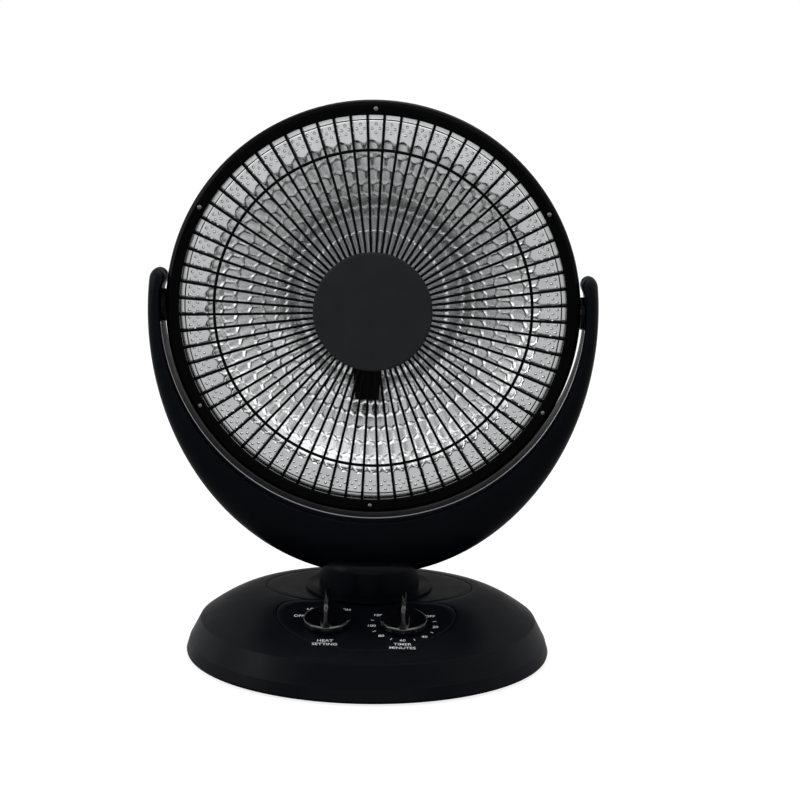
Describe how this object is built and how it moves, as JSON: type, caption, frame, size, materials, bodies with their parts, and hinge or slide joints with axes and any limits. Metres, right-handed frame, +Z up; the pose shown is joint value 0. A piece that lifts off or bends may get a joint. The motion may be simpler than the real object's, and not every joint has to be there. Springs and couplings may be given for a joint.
{
  "type": "parabolic dish heater",
  "caption": "Table-top radiant heater with a wire-guarded parabolic dish in a crescent yoke on an oval foot with two dials.",
  "frame": {"origin": "centre of the bounding box's bottom face, on the floor under the middle of the oval foot", "axes": "+Z up along the neck, -Y towards the front of the dish, +X to the viewer's right from the front"},
  "size_m": [0.3868, 0.287, 0.4785],
  "materials": {
    "casing": "satin",
    "bezel": "gloss",
    "reflector": "polished, embossed",
    "guard": "satin",
    "hub": "matt",
    "knobs": "satin",
    "rubber": "matt",
    "steel": "satin",
    "dark_screws": "satin",
    "weight": "rough",
    "ceramic": "matt",
    "element_wire": "oxidised",
    "works": "matt",
    "bearing": "satin"
  },
  "bodies": {
    "base": {"base_shell": "casing", "control_panel": "casing", "top_cover": "casing", "bearing_bush": "bearing", "bottom_plate": "steel", "rubber_feet": "rubber", "base_screws": "steel", "counterweight": "weight", "heat_switch": "works", "timer_unit": "works", "tip_switch": "works", "tip_spring": "steel", "drive_motor": "steel", "cord_gland": "rubber", "terminal_block": "works"},
    "yoke": {"collar_disc": "casing", "neck": "casing", "column": "steel", "retaining_clip": "steel", "swing_lever": "steel", "yoke_front_shell": "casing", "yoke_rear_shell": "casing", "yoke_screws": "steel", "pivot_bushes": "casing"},
    "head": {"pivot_pins": "steel", "bezel_ring": "bezel", "rear_housing": "casing", "reflector_dish": "reflector", "guard_wires": "guard", "guard_outer_ring": "guard", "guard_mid_ring": "guard", "guard_inner_ring": "guard", "hub_disc": "hub", "bezel_screws": "dark_screws", "element_core": "ceramic", "element_coil": "element_wire", "element_holder": "steel", "thermal_cutout": "steel"},
    "crank": {"drive_crank": "bearing"},
    "heat_dial": {"heat_knob": "knobs", "heat_spindle": "steel"},
    "timer_dial": {"timer_knob": "knobs", "timer_spindle": "steel"},
    "plunger": {"tip_plunger": "works"}
  },
  "joints": [
    {"name": "swing", "type": "hinge", "parent": "base", "child": "yoke", "pos_m": [0, 0.015, 0.042], "axis": [0, 0, 1], "range_deg": [-35, 35]},
    {"name": "tilt", "type": "hinge", "parent": "yoke", "child": "head", "pos_m": [0, 0.015, 0.301], "axis": [-1, 0, 0], "range_deg": [-15, 30]},
    {"name": "crank_turn", "type": "hinge", "parent": "base", "child": "crank", "pos_m": [0, 0.073, 0.01], "axis": [0, 0, 1], "range_deg": [-97, 97]},
    {"name": "heat_turn", "type": "hinge", "parent": "base", "child": "heat_dial", "pos_m": [-0.032, -0.071, 0.04632], "axis": [0, -0.1908, 0.9816], "range_deg": [-90, 0]},
    {"name": "timer_turn", "type": "hinge", "parent": "base", "child": "timer_dial", "pos_m": [0.032, -0.071, 0.04632], "axis": [0, -0.1908, 0.9816], "range_deg": [-280, 0]},
    {"name": "plunger_drop", "type": "slide", "parent": "base", "child": "plunger", "axis": [0, 0, -1], "range_m": [0, 0.006], "stiffness_N_per_m": 100, "springref_m": 0.012, "deforming": ["tip_spring"]}
  ],
  "couplings": [
    {"joint": "crank_turn", "follows": "swing", "ratio": 2.75}
  ]
}
